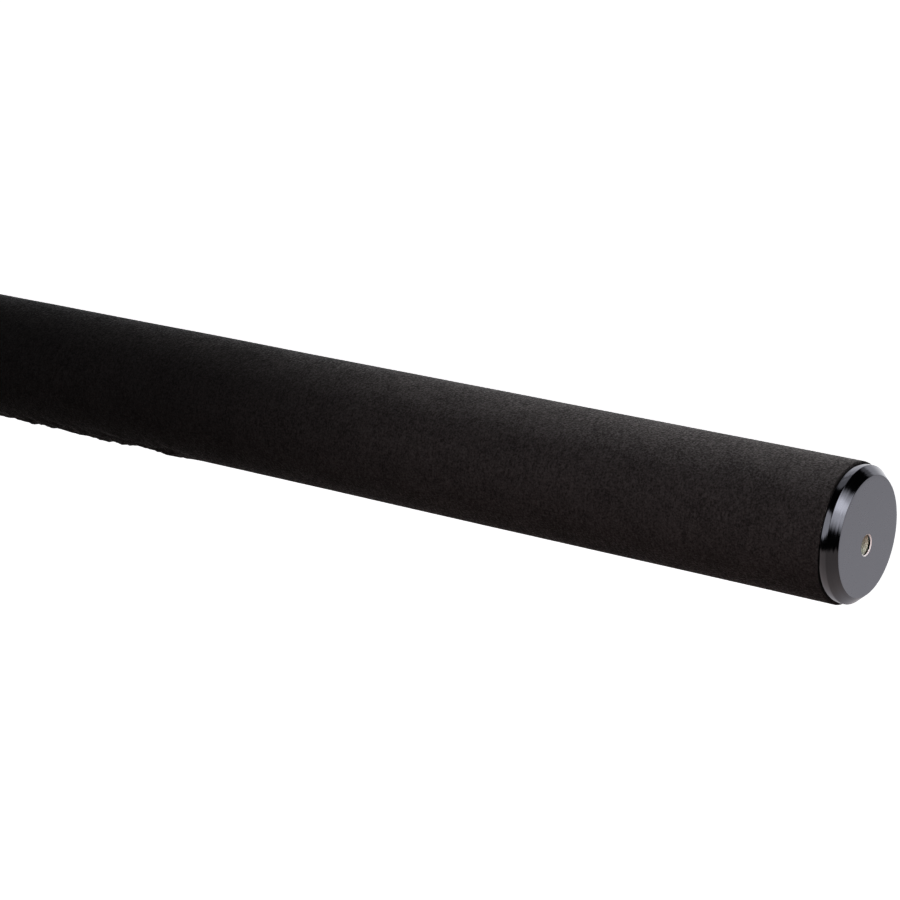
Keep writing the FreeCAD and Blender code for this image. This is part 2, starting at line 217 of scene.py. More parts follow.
def round_the_axis(tree):
    """Position, its x, its distance from the axis, its angle and the way outwards."""
    position = tree.nodes.new("GeometryNodeInputPosition").outputs[0]
    parts = put(tree, "ShaderNodeSeparateXYZ", {0: position}).outputs
    flat = put(tree, "ShaderNodeCombineXYZ", {1: parts[1], 2: parts[2]}).outputs[0]
    distance = put(tree, "ShaderNodeVectorMath", {0: flat}, operation="LENGTH").outputs["Value"]
    outwards = put(tree, "ShaderNodeVectorMath", {0: flat}, operation="NORMALIZE").outputs[0]
    angle = put(tree, "ShaderNodeMath", {0: parts[2], 1: parts[1]}, operation="ARCTAN2").outputs[0]
    return position, parts[0], distance, angle, outwards


def foam_surface():
    """Uneven skin of a foam sleeve: slow swells, coarse cells, turning marks and torn lumps."""
    sizes = ("Relief", "Swell", "Lump height", "Lumps from", "End bulge", "End gap", "Skin radius")
    tree, given = new_shape_tree("foam_surface", sizes)
    position, x, distance, angle, outwards = round_the_axis(tree)
    swell = sum_of(tree, grain(tree, position, (14, 30, 30)), -0.5)
    cells = sum_of(tree, grain(tree, position, (640, 640, 640), 3.0, 0.7), -0.5)
    marks = sum_of(tree, grain(tree, position, (520, 16, 16), 2.0), -0.5)
    # the skin is torn on the side that the pole rests on
    below = put(tree, "ShaderNodeMath", {0: sum_of(tree, angle, 1.25)}, operation="ABSOLUTE")
    torn_from = given["Lumps from"]
    torn_until, sound_from = sum_of(tree, torn_from, 0.07), sum_of(tree, torn_from, 0.1)
    zone = times(
        tree,
        ramp_between(tree, below.outputs[0], 0.75, 0.15),
        ramp_between(tree, x, torn_from, sum_of(tree, torn_from, 0.008)),
        ramp_between(tree, x, sound_from, torn_until),
    )
    lumps = sum_of(tree, grain(tree, position, (210, 300, 300), 3.0, 0.6), -0.5)
    height = sum_of(
        tree,
        times(tree, swell, given["Swell"]),
        times(tree, sum_of(tree, cells, times(tree, marks, 0.8)), given["Relief"]),
        times(tree, zone, lumps, given["Lump height"], 2.0),
    )
    outer = given["Skin radius"]
    skin = ramp_between(tree, distance, times(tree, outer, 0.93), outer)
    raised = times(tree, height, skin)
    # the sleeve's rear end leans on the cap at one side
    side = put(tree, "ShaderNodeMath", {0: sum_of(tree, angle, -0.25)}, operation="ABSOLUTE")
    rim = times(
        tree,
        ramp_between(tree, x, 0.006, 0.0),
        ramp_between(tree, distance, times(tree, outer, 0.94), outer),
    )
    side_share = ramp_between(tree, side.outputs[0], 0.72, 0.3)
    forward = times(tree, side_share, sum_of(tree, given["End bulge"], given["End gap"]), -1.0)
    lean = times(tree, rim, sum_of(tree, given["End gap"], forward))
    push = put(tree, "ShaderNodeVectorMath", {0: outwards, 3: raised}, operation="SCALE").outputs[0]
    along = put(tree, "ShaderNodeCombineXYZ", {0: lean}).outputs[0]
    offset = put(tree, "ShaderNodeVectorMath", {0: push, 1: along}, operation="ADD").outputs[0]
    moved = put(tree, "GeometryNodeSetPosition", {"Geometry": given["Geometry"], "Offset": offset})
    end_shape_tree(tree, moved.outputs[0], given["Finish"])
    return tree


def ribbed_ring():
    """Grooves along a grip ring, evenly round it, which run out before its ends."""
    sizes = ("Rib count", "Groove depth", "Rear", "Front", "Run-out", "Outer radius")
    tree, given = new_shape_tree("ribbed_ring", sizes)
    _, x, distance, angle, outwards = round_the_axis(tree)
    wave = put(tree, "ShaderNodeMath", {0: times(tree, angle, given["Rib count"])}, operation="COSINE")
    groove = ramp_between(tree, wave.outputs[0], -0.25, 0.85)
    plain_edge = 0.0008
    groove_start = sum_of(tree, given["Rear"], plain_edge)
    full_depth = sum_of(tree, given["Rear"], given["Run-out"])
    rear = ramp_between(tree, x, groove_start, full_depth)
    front_gap = put(tree, "ShaderNodeMath", {0: given["Front"], 1: x}, operation="SUBTRACT").outputs[0]
    front = ramp_between(tree, front_gap, plain_edge, given["Run-out"])
    outer = given["Outer radius"]
    skin = ramp_between(tree, distance, times(tree, outer, 0.965), times(tree, outer, 0.995))
    depth = times(tree, groove, rear, front, skin, given["Groove depth"], -1.0)
    offset = put(tree, "ShaderNodeVectorMath", {0: outwards, 3: depth}, operation="SCALE").outputs[0]
    moved = put(tree, "GeometryNodeSetPosition", {"Geometry": given["Geometry"], "Offset": offset})
    end_shape_tree(tree, moved.outputs[0], given["Finish"])
    return tree


# Finishes.


def new_finish(name, **constants):
    """A material, its tree, its shader with constants set on it, and the piece's coordinates."""
    material = bpy.data.materials.new(name)
    material.use_nodes = True
    tree = material.node_tree
    shader = tree.nodes["Principled BSDF"]
    for key, value in constants.items():
        shader.inputs[key.replace("_", " ")].default_value = value
    position = tree.nodes.new("ShaderNodeTexCoord").outputs["Object"]
    return material, tree, shader, position


def tint(tree, shader, value, low, high, dark, light):
    """Base colour that goes from dark to light while value goes from low to high, and its socket."""
    ramp = put(tree, "ShaderNodeValToRGB", {0: value})
    ramp.color_ramp.elements[0].position = low
    ramp.color_ramp.elements[0].color = (*dark, 1)
    ramp.color_ramp.elements[1].position = high
    ramp.color_ramp.elements[1].color = (*light, 1)
    tree.links.new(ramp.outputs[0], shader.inputs["Base Color"])
    return ramp.outputs[0]


def turned_waver(tree, position, amount):
    """The surface direction, swung a little round the axis by each pass of the cutting tool."""
    passes = sum_of(tree, grain(tree, position, (2600, 45, 45), 3.0, 0.7), -0.5)
    surface = tree.nodes.new("ShaderNodeNewGeometry").outputs["Normal"]
    across = put(
        tree, "ShaderNodeVectorMath", {0: (1, 0, 0), 1: surface}, operation="CROSS_PRODUCT"
    ).outputs[0]
    swing = put(
        tree, "ShaderNodeVectorMath", {0: across, 3: times(tree, passes, amount)}, operation="SCALE"
    ).outputs[0]
    swung = put(tree, "ShaderNodeVectorMath", {0: surface, 1: swing}, operation="ADD").outputs[0]
    return put(tree, "ShaderNodeVectorMath", {0: swung}, operation="NORMALIZE").outputs[0]


def bumps(tree, shader, height, depth, strength=1.0, surface=None):
    inputs = {"Height": height, "Distance": depth, "Strength": strength}
    if surface is not None:
        inputs["Normal"] = surface
    tree.links.new(put(tree, "ShaderNodeBump", inputs).outputs[0], shader.inputs["Normal"])


def scaled(colour, factor):
    return tuple(channel * factor for channel in colour)


def foam_finish(colour):
    """Closed-cell foam, cut and ground on a lathe: fine cells, turning marks, pale dust, and painted
    shade that darkens it away from the cap.
    """
    material, tree, shader, position = new_finish(
        "Grip foam",
        Roughness=0.95,
        Specular_IOR_Level=0.12,
        Sheen_Roughness=0.28,
    )
    speckle = grain(tree, position, (1700, 1700, 1700), 1.0, 0.8)
    marks = grain(tree, position, (1300, 480, 480), 2.0, 0.75)
    mottle = grain(tree, position, (75, 110, 110), 5.0, 0.65)
    mixed = sum_of(
        tree, times(tree, speckle, 0.54), times(tree, marks, 0.3), times(tree, mottle, 0.16)
    )
    dusty = tint(tree, shader, mixed, 0.38, 0.64, scaled(colour, 0.4), scaled(colour, 1.7))
    tree.links.new(ramp_between(tree, mixed, 0.42, 0.62, 0.0, 0.29), shader.inputs["Sheen Weight"])
    # painted shade: the base colour drops to half away from the cap, standing in for the lamps' light
    # falling off along the grip
    along = put(tree, "ShaderNodeSeparateXYZ", {0: position}).outputs[0]
    painted_falloff_shade = ramp_between(tree, along, 0.23, 0.12, 0.5, 1.0)
    falloff_shaded = put(tree, "ShaderNodeVectorMath", {0: dusty, 3: painted_falloff_shade}, operation="SCALE")
    tree.links.new(falloff_shaded.outputs[0], shader.inputs["Base Color"])
    cells = put(tree, "ShaderNodeTexVoronoi", {"Vector": position, "Scale": 1300.0}).outputs[0]
    height = sum_of(tree, times(tree, cells, 0.6), speckle, times(tree, marks, 0.5))
    bumps(tree, shader, height, 0.00016, 0.8)
    return material


def anodised_finish(name, colour, roughness, lines):
    """Anodised aluminium. lines is turned, faced or drawn, the way its fine tool marks run."""
    material, tree, shader, position = new_finish(name, Metallic=1.0)
    swing, mark_depth = 0.2, 0.00001
    if lines == "turned":
        marks = grain(tree, position, (4200, 25, 25), 3.0, 0.6)
    elif lines == "drawn":
        marks = grain(tree, position, (8, 2600, 2600), 3.0, 0.6)
    else:
        flat = put(tree, "ShaderNodeVectorMath", {0: position, 1: (0, 1, 1)}, operation="MULTIPLY")
        distance = put(tree, "ShaderNodeVectorMath", {0: flat.outputs[0]}, operation="LENGTH")
        rings = put(tree, "ShaderNodeCombineXYZ", {0: distance.outputs["Value"]}).outputs[0]
        marks = grain(tree, rings, (5200, 1, 1), 3.0, 0.6)
    cloud = grain(tree, position, (160, 160, 160), 4.0, 0.6)
    dots = grain(tree, position, (3200, 3200, 3200), 1.0)
    mixed = sum_of(tree, times(tree, marks, 0.4), times(tree, cloud, 0.3), times(tree, dots, 0.3))
    tint(tree, shader, mixed, 0.3, 0.7, scaled(colour, 0.9), scaled(colour, 1.1))
    uneven = ramp_between(tree, mixed, 0.3, 0.7, roughness * 0.85, roughness * 1.15)
    tree.links.new(uneven, shader.inputs["Roughness"])
    surface = turned_waver(tree, position, swing) if lines == "turned" else None
    bumps(tree, shader, sum_of(tree, marks, times(tree, dots, 0.2)), mark_depth, 0.6, surface)
    return material


def bare_metal_finish(name, colour, roughness, metallic=1.0):
    """Machined metal without a coating."""
    material, tree, shader, position = new_finish(name, Metallic=metallic)
    marks = grain(tree, position, (6000, 60, 60), 2.0)
    cloud = grain(tree, position, (300, 300, 300), 3.0)
    mixed = sum_of(tree, times(tree, marks, 0.6), times(tree, cloud, 0.4))
    tint(tree, shader, mixed, 0.3, 0.7, scaled(colour, 0.82), scaled(colour, 1.08))
    uneven = ramp_between(tree, mixed, 0.3, 0.7, roughness * 0.8, roughness * 1.3)
    tree.links.new(uneven, shader.inputs["Roughness"])
    bumps(tree, shader, marks, 0.000006, 0.6)
    return material


def moulded_finish(name, colour, roughness, scale=900, depth=0.00003):
    """Rubber or plastic with a fine eroded skin."""
    material, tree, shader, position = new_finish(name, Specular_IOR_Level=0.4)
    skin = grain(tree, position, (scale, scale, scale), 3.0, 0.6)
    cloud = grain(tree, position, (70, 70, 70), 4.0, 0.6)
    mixed = sum_of(tree, times(tree, skin, 0.45), times(tree, cloud, 0.55))
    tint(tree, shader, mixed, 0.32, 0.68, scaled(colour, 0.75), scaled(colour, 1.3))
    uneven = ramp_between(tree, mixed, 0.3, 0.7, roughness * 0.85, roughness * 1.1)
    tree.links.new(uneven, shader.inputs["Roughness"])
    bumps(tree, shader, skin, depth, 0.6)
    return material


def felt_finish(colour):
    """Pressed wool felt, with short loose fibres."""
    material, tree, shader, position = new_finish(
        "Wiper felt", Roughness=1.0, Sheen_Weight=0.5, Sheen_Roughness=0.5, Specular_IOR_Level=0.1
    )
    fibres = grain(tree, position, (900, 2200, 2200), 4.0, 0.75)
    tint(tree, shader, fibres, 0.3, 0.7, scaled(colour, 0.6), scaled(colour, 1.5))
    bumps(tree, shader, fibres, 0.00025, 0.9)
    return material


# Settings.


class BoomPoleGrip(bpy.types.PropertyGroup):
    """Foam sleeve over the base tube."""

    relief: FloatProperty(
        name="Relief",
        description="Height of the foam's cells",
        default=0.00004,
        unit="LENGTH",
        precision=5,
    )
    swell: FloatProperty(
        name="Swell",
        description="Slow rise and fall of the surface",
        default=0.00035,
        unit="LENGTH",
        precision=5,
    )
    lump_height: FloatProperty(
        name="Lump height",
        description="Height of the torn lumps below",
        default=0.0019,
        unit="LENGTH",
        precision=5,
    )
    lumps_from: FloatProperty(
        name="Lumps from", description="Where the torn stretch begins", default=0.226, unit="LENGTH"
    )
    end_bulge: FloatProperty(
        name="End bulge",
        description="How far the rear end leans on the cap",
        default=0.00045,
        unit="LENGTH",
        precision=5,
    )
    end_gap: FloatProperty(
        name="End gap",
        description="How far the rear end stays back elsewhere",
        default=0.0001,
        unit="LENGTH",
        precision=5,
    )
    rim_round: FloatProperty(
        name="Rim",
        description="Rounding of the sleeve's cut ends",
        default=0.0003,
        unit="LENGTH",
        precision=5,
    )
    colour: FloatVectorProperty(
        name="Colour",
        description="Mean colour of the foam",
        subtype="COLOR",
        default=(0.0175, 0.0170, 0.0172),
    )


class BoomPoleCap(bpy.types.PropertyGroup):
    """Turned cap that closes the base tube."""

    chamfer_length: FloatProperty(
        name="Bevel length",
        description="Length of the flange's bevel",
        default=0.00255,
        unit="LENGTH",
        precision=5,
    )
    chamfer_depth: FloatProperty(
        name="Bevel depth",
        description="Depth of the flange's bevel",
        default=0.0023,
        unit="LENGTH",
        precision=5,
    )
    flange_length: FloatProperty(
        name="Flange",
        description="Whole length of the flange",
        default=0.0046,
        unit="LENGTH",
        precision=5,
    )
    spigot_radius: FloatProperty(
        name="Spigot",
        description="Radius of the threaded spigot",
        default=0.01195,
        unit="LENGTH",
        precision=5,
    )
    spigot_bore: FloatProperty(
        name="Spigot bore",
        description="Radius inside the spigot",
        default=0.009,
        unit="LENGTH",
        precision=5,
    )
    end_wall: FloatProperty(
        name="End wall",
        description="Thickness of the cap's end",
        default=0.0065,
        unit="LENGTH",
        precision=5,
    )
    hole_radius: FloatProperty(
        name="Hole", description="Radius of the cable hole", default=0.00282, unit="LENGTH", precision=5
    )
    mouth_radius: FloatProperty(
        name="Hole mouth",
        description="Radius of the countersunk mouth",
        default=0.0031,
        unit="LENGTH",
        precision=5,
    )
    hole_side: FloatProperty(
        name="Hole side", description="Hole centre along Y", default=0.00073, unit="LENGTH", precision=5
    )
    hole_drop: FloatProperty(
        name="Hole drop",
        description="Hole centre below the axis",
        default=0.00223,
        unit="LENGTH",
        precision=5,
    )
    edge_round: FloatProperty(
        name="Edge",
        description="Rounding of the turned edges",
        default=0.00005,
        unit="LENGTH",
        precision=5,
    )
    colour: FloatVectorProperty(
        name="Colour",
        description="Colour of the anodising",
        subtype="COLOR",
        default=(0.198, 0.201, 0.226),
    )


class BoomPoleCollars(bpy.types.PropertyGroup):
    """Ribbed rubber rings on the locking collars."""

    rib_count: IntProperty(name="Ribs", description="Ribs round the first collar", default=34, min=8)
    groove_depth: FloatProperty(
        name="Groove", description="Depth between the ribs", default=0.0007, unit="LENGTH", precision=5
    )
    run_out: FloatProperty(
        name="Run-out",
        description="Where the grooves reach full depth",
        default=0.0026,
        unit="LENGTH",
        precision=5,
    )
    edge_round: FloatProperty(
        name="Edge",
        description="Rounding of the ring's edges",
        default=0.0004,
        unit="LENGTH",
        precision=5,
    )


class BoomPoleTip(bpy.types.PropertyGroup):
    """Threaded stud for a microphone mount."""

    pitch: FloatProperty(
        name="Pitch",
        description="Lead of the thread, 16 turns an inch",
        default=0.0015875,
        unit="LENGTH",
        precision=6,
    )
    thread_depth: FloatProperty(
        name="Thread depth",
        description="Height of the thread",
        default=0.00092,
        unit="LENGTH",
        precision=5,
    )
    neck_depth: FloatProperty(
        name="Neck",
        description="Depth of the groove under the washer",
        default=0.0006,
        unit="LENGTH",
        precision=5,
    )


class BoomPoleFinishes(bpy.types.PropertyGroup):
    """Colours of the parts that keep their machined shape."""

    tube: FloatVectorProperty(
        name="Tubes",
        description="Anodising of the tubes",
        subtype="COLOR",
        default=(0.050, 0.050, 0.054),
    )
    fitting: FloatVectorProperty(
        name="Fittings",
        description="Anodising of collars and ferrules",
        subtype="COLOR",
        default=(0.095, 0.095, 0.101),
    )
    rubber: FloatVectorProperty(
        name="Rubber",
        description="Grip rings and seals",
        subtype="COLOR",
        default=(0.016, 0.016, 0.017),
    )
    nylon: FloatVectorProperty(
        name="Nylon", description="Bushes and collets", subtype="COLOR", default=(0.62, 0.60, 0.54)
    )


class BoomPoleStage(bpy.types.PropertyGroup):
    """Floor, lights and camera."""

    floor_drop: FloatProperty(
        name="Floor", description="Depth of the floor under the pole", default=0.6, unit="LENGTH"
    )
    lens: FloatProperty(name="Lens", description="Focal length in millimetres", default=111.16)
    key_power: FloatProperty(
        name="Key", description="Power of the lamp behind the grip, in watts", default=0.95
    )
    front_power: FloatProperty(
        name="Front", description="Power of the soft front lamp, in watts", default=0.24
    )
    fill_power: FloatProperty(
        name="Fill", description="Power of the warm low lamp, in watts", default=0.15
    )
    couplings_power: FloatProperty(
        name="Couplings", description="Power of each lamp by the couplings, in watts", default=0.22
    )
    backdrop: FloatProperty(name="Backdrop", description="Brightness behind the pole", default=0.8)
    dish: FloatProperty(name="Dish", description="Brightness of the lamp past the cap", default=2.1)
    side_box: FloatProperty(name="Side box", description="Brightness of the side softbox", default=0.8)


# Operators.


class BOOMPOLE_OT_foam_grip(bpy.types.Operator):
    """Foam sleeve with its cells, turning marks, torn lumps and leaning rear end"""

    bl_idname = "boom_pole.foam_grip"
    bl_label = "Foam Grip"

    SIDES = 152
    RING_SPACING = 0.00112
    BOND_GAP = 0.00005
    # painted shade on the rear end: how far in from the skin the near-black band begins, and how far
    # along the bore it goes
    SHADED_END_INSET = 0.00055
    SHADED_END_LENGTH = 0.0012

    def execute(self, context):
        given = context.scene.boom_pole_grip
        rear, front = span("foam_grip")
        skin = outer_radius("foam_grip")
        bore = outer_radius("tube_1") + self.BOND_GAP
        rim = given.rim_round
        length = front - rear
        profile = [(rear, bore)]
        profile += [(rear, r) for r in even(bore, skin - rim, 7)]
        profile += list(reversed(rounded(rear, skin, rim, 90)))
        skin_rings = round(length / self.RING_SPACING)
        profile += [(x, skin) for x in even(rear + rim, front - rim, skin_rings)]
        profile += list(reversed(rounded(front, skin, rim, 0)))
        profile += [(front, r) for r in even(skin - rim, bore, 3)]
        profile += [(front, bore)]
        profile += [(x, bore) for x in even(front, rear, 11)]
        piece = turned_tube("foam_sleeve", profile, self.SIDES)
        values = {
            "Relief": given.relief,
            "Swell": given.swell,
            "Lump height": given.lump_height,
            "Lumps from": given.lumps_from,
            "End bulge": given.end_bulge,
            "End gap": given.end_gap,
            "Skin radius": skin - rim,
            "Finish": foam_finish(given.colour),
        }
        shape_with(piece, foam_surface(), values)
        settle(piece, 50)
        # painted shade: the rear end's faces by the bore get a near-black copy of the foam, standing in
        # for the dark gap at the cap
        piece.data.materials.append(moulded_finish("Foam end painted shade", scaled(given.colour, 0.12), 0.95))
        for polygon in piece.data.polygons:
            centre = polygon.center
            inside = math.hypot(centre.y, centre.z) < skin - self.SHADED_END_INSET
            if inside and centre.x < rear + self.SHADED_END_LENGTH:
                polygon.material_index = 1
        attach(piece, "handle")
        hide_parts("foam_grip")
        return {"FINISHED"}


class BOOMPOLE_OT_end_cap(bpy.types.Operator):
    """Turned cap with a bevelled flange, rounded edges and the off-centre cable hole"""

    bl_idname = "boom_pole.end_cap"
    bl_label = "End Cap"

    SIDES = 192
    FACE_RINGS = 14
    # painted shade: the bore takes the cap's black finish from its mouth down to the first of these
    # depths, where it lies in shade, and is light beyond it
    SHADED_MOUTH_RINGS = (0.0009, 0.0008)
    SPIGOT_BEVEL = 0.0006
    # material slots after the first, which is for all the turned black faces
    FACED, COUNTERSUNK, BORE = 1, 2, 3

    def execute(self, context):
        given = context.scene.boom_pole_cap
        rear, front = span("end_cap")
        flange = outer_radius("end_cap")
        edge = given.edge_round
        face = flange - given.chamfer_depth
        hole = (given.hole_side, -given.hole_drop)
        bore, mouth = given.hole_radius, given.mouth_radius
        step = mouth - bore
        inner_face = rear + given.end_wall
        back = rear + given.flange_length
        profile = [(inner_face, bore, *hole)]
        profile += [(x, bore, *hole) for x in even(inner_face, rear + self.SHADED_MOUTH_RINGS[0], 3)]
        # painted shade: the rings just inside the mouth keep the cap's black finish
        shaded_mouth_first = len(profile)
        profile += [(rear + depth, bore, *hole) for depth in self.SHADED_MOUTH_RINGS]
        countersink_first = len(profile)
        profile += [(rear + step, bore, *hole)]
        profile += [(rear + edge / 3, mouth - edge / 3, *hole)]
        face_first = len(profile)
        profile += [(rear, mouth + edge / 3, *hole)]
        for share in even(0, 1, self.FACE_RINGS):
            radius = mouth + (face - edge - mouth) * share
            profile.append((rear, radius, hole[0] * (1 - share), hole[1] * (1 - share)))
        bevel_first = len(profile)
        slope = math.atan2(given.chamfer_length, given.chamfer_depth)
        profile += self.blended((rear, face), slope, edge, True)
        profile += self.blended((rear + given.chamfer_length, flange), slope, edge, False)
        profile += list(reversed(rounded(back, flange, edge, 0, 3)))
        profile += [(back, r) for r in even(flange - edge, given.spigot_radius, 2)]
        profile += [(back, given.spigot_radius), (front - self.SPIGOT_BEVEL, given.spigot_radius)]
        profile += [(front, given.spigot_radius - self.SPIGOT_BEVEL), (front, given.spigot_bore)]
        profile += [(inner_face, given.spigot_bore)]
        piece = turned_tube("end_cap_turned", profile, self.SIDES)
        mesh = piece.data
        pale = (0.95, 0.95, 0.95)
        mesh.materials.append(anodised_finish("Cap black anodised", given.colour, 0.1, "turned"))
        mesh.materials.append(anodised_finish("Cap face anodised", given.colour, 0.3, "faced"))
        # partly painted highlight: the countersink's bare aluminium is a near-white matt colour, its
        # own light tone and the glint it would mirror
        mesh.materials.append(bare_metal_finish("Countersunk aluminium", pale, 0.42, metallic=0.1))
        # painted reflection: the bore's bare metal wall is a light olive matt colour standing in for
        # the light it mirrors
        mesh.materials.append(moulded_finish("Bore wall painted reflection", (0.55, 0.60, 0.50), 0.25))
        for polygon in mesh.polygons:
            ring = polygon.index // self.SIDES
            if ring < shaded_mouth_first:
                polygon.material_index = self.BORE
            elif countersink_first <= ring < face_first:
                polygon.material_index = self.COUNTERSUNK
            elif face_first <= ring < bevel_first:
                polygon.material_index = self.FACED
        settle(piece, 20)
        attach(piece, "handle")
        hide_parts("end_cap")
        return {"FINISHED"}

    def blended(self, corner, slope, size, at_face, steps=4):
        """A small round where the bevel meets the face or the band."""
        x, radius = corner
        run_x, run_radius = math.sin(slope) * size, math.cos(slope) * size
        if at_face:
            first, last = (x, radius - size), (x + run_x, radius + run_radius)
        else:
            first, last = (x - run_x, radius - run_radius), (x + size, radius)
        points = []
        for step in range(steps + 1):
            t = step / steps
            before, middle, after = (1 - t) ** 2, 2 * t * (1 - t), t * t
            points.append(
                (
                    first[0] * before + x * middle + last[0] * after,
                    first[1] * before + radius * middle + last[1] * after,
                )
            )
        return points


class BOOMPOLE_OT_collar_grips(bpy.types.Operator):
    """Ribbed rubber ring in the groove of every locking collar"""

    bl_idname = "boom_pole.collar_grips"
    bl_label = "Collar Grips"

    WALL = 0.00155
    RINGS_ALONG = 30
    SIDES_PER_RIB = 12

    def execute(self, context):
        given = context.scene.boom_pole_collars
        rubber = moulded_finish(
            "Grip ring rubber", context.scene.boom_pole_finishes.rubber, 0.62, 1200, 0.00004
        )
        tree = ribbed_ring()
        first = outer_radius("collar_grip_1")
        for number in COUPLINGS:
            node = f"collar_grip_{number}"
            rear, front = span(node)
            outer = outer_radius(node)
            bore = outer - self.WALL
            edge = given.edge_round
            # ribs about as wide on every collar, and an even count of them
            ribs = 2 * round(given.rib_count * outer / first / 2)
            profile = [(rear, bore), (rear, outer - edge)]
            profile += list(reversed(rounded(rear, outer, edge, 90, 3)))[1:]
            profile += [(x, outer) for x in even(rear + edge, front - edge, self.RINGS_ALONG)]
            profile += list(reversed(rounded(front, outer, edge, 0, 3)))
            profile += [(front, bore)]
            piece = turned_tube(f"ribbed_grip_{number}", profile, ribs * self.SIDES_PER_RIB)
            values = {
                "Rib count": float(ribs),
                "Groove depth": given.groove_depth,
                "Rear": rear,
                "Front": front,
                "Run-out": given.run_out,
                "Outer radius": outer,
                "Finish": rubber,
            }
            shape_with(piece, tree, values)
            settle(piece, 40)
            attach(piece, f"collar_{number}")
            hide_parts(node)
        return {"FINISHED"}


class BOOMPOLE_OT_tip_stud(bpy.types.Operator):
    """Steel stud with its helical thread, for the microphone mount"""

    bl_idname = "boom_pole.tip_stud"
    bl_label = "Tip Stud"

    SIDES = 72
    ROWS_PER_TURN = 14
    EDGE_BEVEL = 0.0006
    POINT_DEPTH = 0.0013
    PLAIN_NECK = 0.0003
    # share of half a lead that is flat at the crest, and that the flank takes
    CREST_SHARE = 0.14
    FLANK_SHARE = 0.7
    # slope of the run-out at the neck, and how far the thread is turned down at the front end
    RUN_OUT_SLOPE = 1.2
    START_DEPTH = 0.0007

    def execute(self, context):
        given = context.scene.boom_pole_tip
        rear, front = span("tip_stud")
        washer_rear, washer_front = span("tip_washer")
        major = outer_radius("tip_stud")
        neck = major - given.neck_depth
        sides, steps = self.SIDES, self.ROWS_PER_TURN
        start, end = washer_front + self.PLAIN_NECK, front - self.EDGE_BEVEL
        turns = math.ceil((end - start) / given.pitch) + 1
        points, faces = [], []
        rings = [(rear, major - self.EDGE_BEVEL), (rear + self.EDGE_BEVEL, major), (washer_rear, major)]
        rings += [(washer_rear, neck), (washer_front, neck)]
        for x, radius in rings:
            points += ring_points(x, radius, sides)
        for index in range(len(rings) - 1):
            faces += ring_strip(index * sides, (index + 1) * sides, sides)
        base = len(points)
        rows = turns * steps
        # each row climbs one lead in a turn, so a row's last point meets the row a turn further on
        for row in range(rows + 1):
            for side in range(sides + 1):
                share = side / sides
                x = start + given.pitch * (row / steps - 1 + share)
                place = (x, share, row / steps)
                points.append(self.thread_point(given.thread_depth, place, start, end, major, neck))
        for row in range(rows):
            for side in range(sides):
                corner = base + row * (sides + 1) + side
                faces.append((corner, corner + 1, corner + sides + 2, corner + sides + 1))
        last = len(points)
        points += ring_points(front, major - self.POINT_DEPTH, sides)
        points.append((front, 0.0, 0.0))
        points.append((rear, 0.0, 0.0))
        top = [base + rows * (sides + 1) + side for side in range(sides)]
        bottom = [base + side for side in range(sides)]
        for side in range(sides):
            following = (side + 1) % sides
            faces.append((top[side], top[following], last + following, last + side))
            faces.append((last + side, last + following, last + sides))
            under, under_next = base - sides + side, base - sides + following
            faces.append((under, under_next, bottom[following], bottom[side]))
            faces.append((following, side, last + sides + 1))
        piece = new_object("threaded_stud", points, faces)
        piece.data.materials.append(bare_metal_finish("Stud steel", (0.56, 0.55, 0.53), 0.2))
        settle(piece, 24)
        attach(piece, "section_5")
        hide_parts("tip_stud")
        return {"FINISHED"}

    def thread_point(self, depth, place, start, end, major, neck):
        """A point of the thread's flank, kept inside the stud's length and run out at its ends."""
        x, share, phase = place
        wave = abs(2 * (phase % 1.0) - 1)
        flank = min(1.0, max(0.0, (wave - self.CREST_SHARE) / self.FLANK_SHARE))
        clipped = min(end, max(start, x))
        at_neck = neck + (clipped - start) * self.RUN_OUT_SLOPE
        at_front = major - self.START_DEPTH + (end - clipped)
        radius = min(major - depth * flank, at_neck, at_front)
        angle = TAU * share
        return (clipped, radius * math.cos(angle), radius * math.sin(angle))


class BOOMPOLE_OT_finishes(bpy.types.Operator):
    """Finishes of the tubes, ferrules, collars, bushes, rings and seals"""

    bl_idname = "boom_pole.finishes"
    bl_label = "Finishes"

    def execute(self, context):
        given = context.scene.boom_pole_finishes
        tube = anodised_finish("Tube black anodised", given.tube, 0.3, "drawn")
        fitting = anodised_finish("Fitting black anodised", given.fitting, 0.26, "turned")
        rubber = moulded_finish("Seal rubber", given.rubber, 0.55)
        finishes = {
            "tube_anodised": tube,
            "fitting_anodised": fitting,
            "cap_anodised": fitting,
            "seal_rubber": rubber,
            "grip_rubber": rubber,
            "grip_foam": rubber,
            "insert_aluminium": bare_metal_finish("Insert aluminium", (0.74, 0.74, 0.73), 0.3),
            "brass": bare_metal_finish("Cone brass", (0.72, 0.50, 0.22), 0.25),
            "stud_steel": bare_metal_finish("Plain steel", (0.56, 0.55, 0.53), 0.25),
            "nylon": moulded_finish("Natural nylon", given.nylon, 0.45, 500, 0.00002),
            "felt": felt_finish((0.055, 0.055, 0.058)),
        }
        for name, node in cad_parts.items():
            for holder in node.material_slots:
                known = holder.material.name.split(".")[0]
                if known not in finishes:
                    raise RuntimeError(f"{name} has no finish for {known}")
                holder.material = finishes[known]
        return {"FINISHED"}


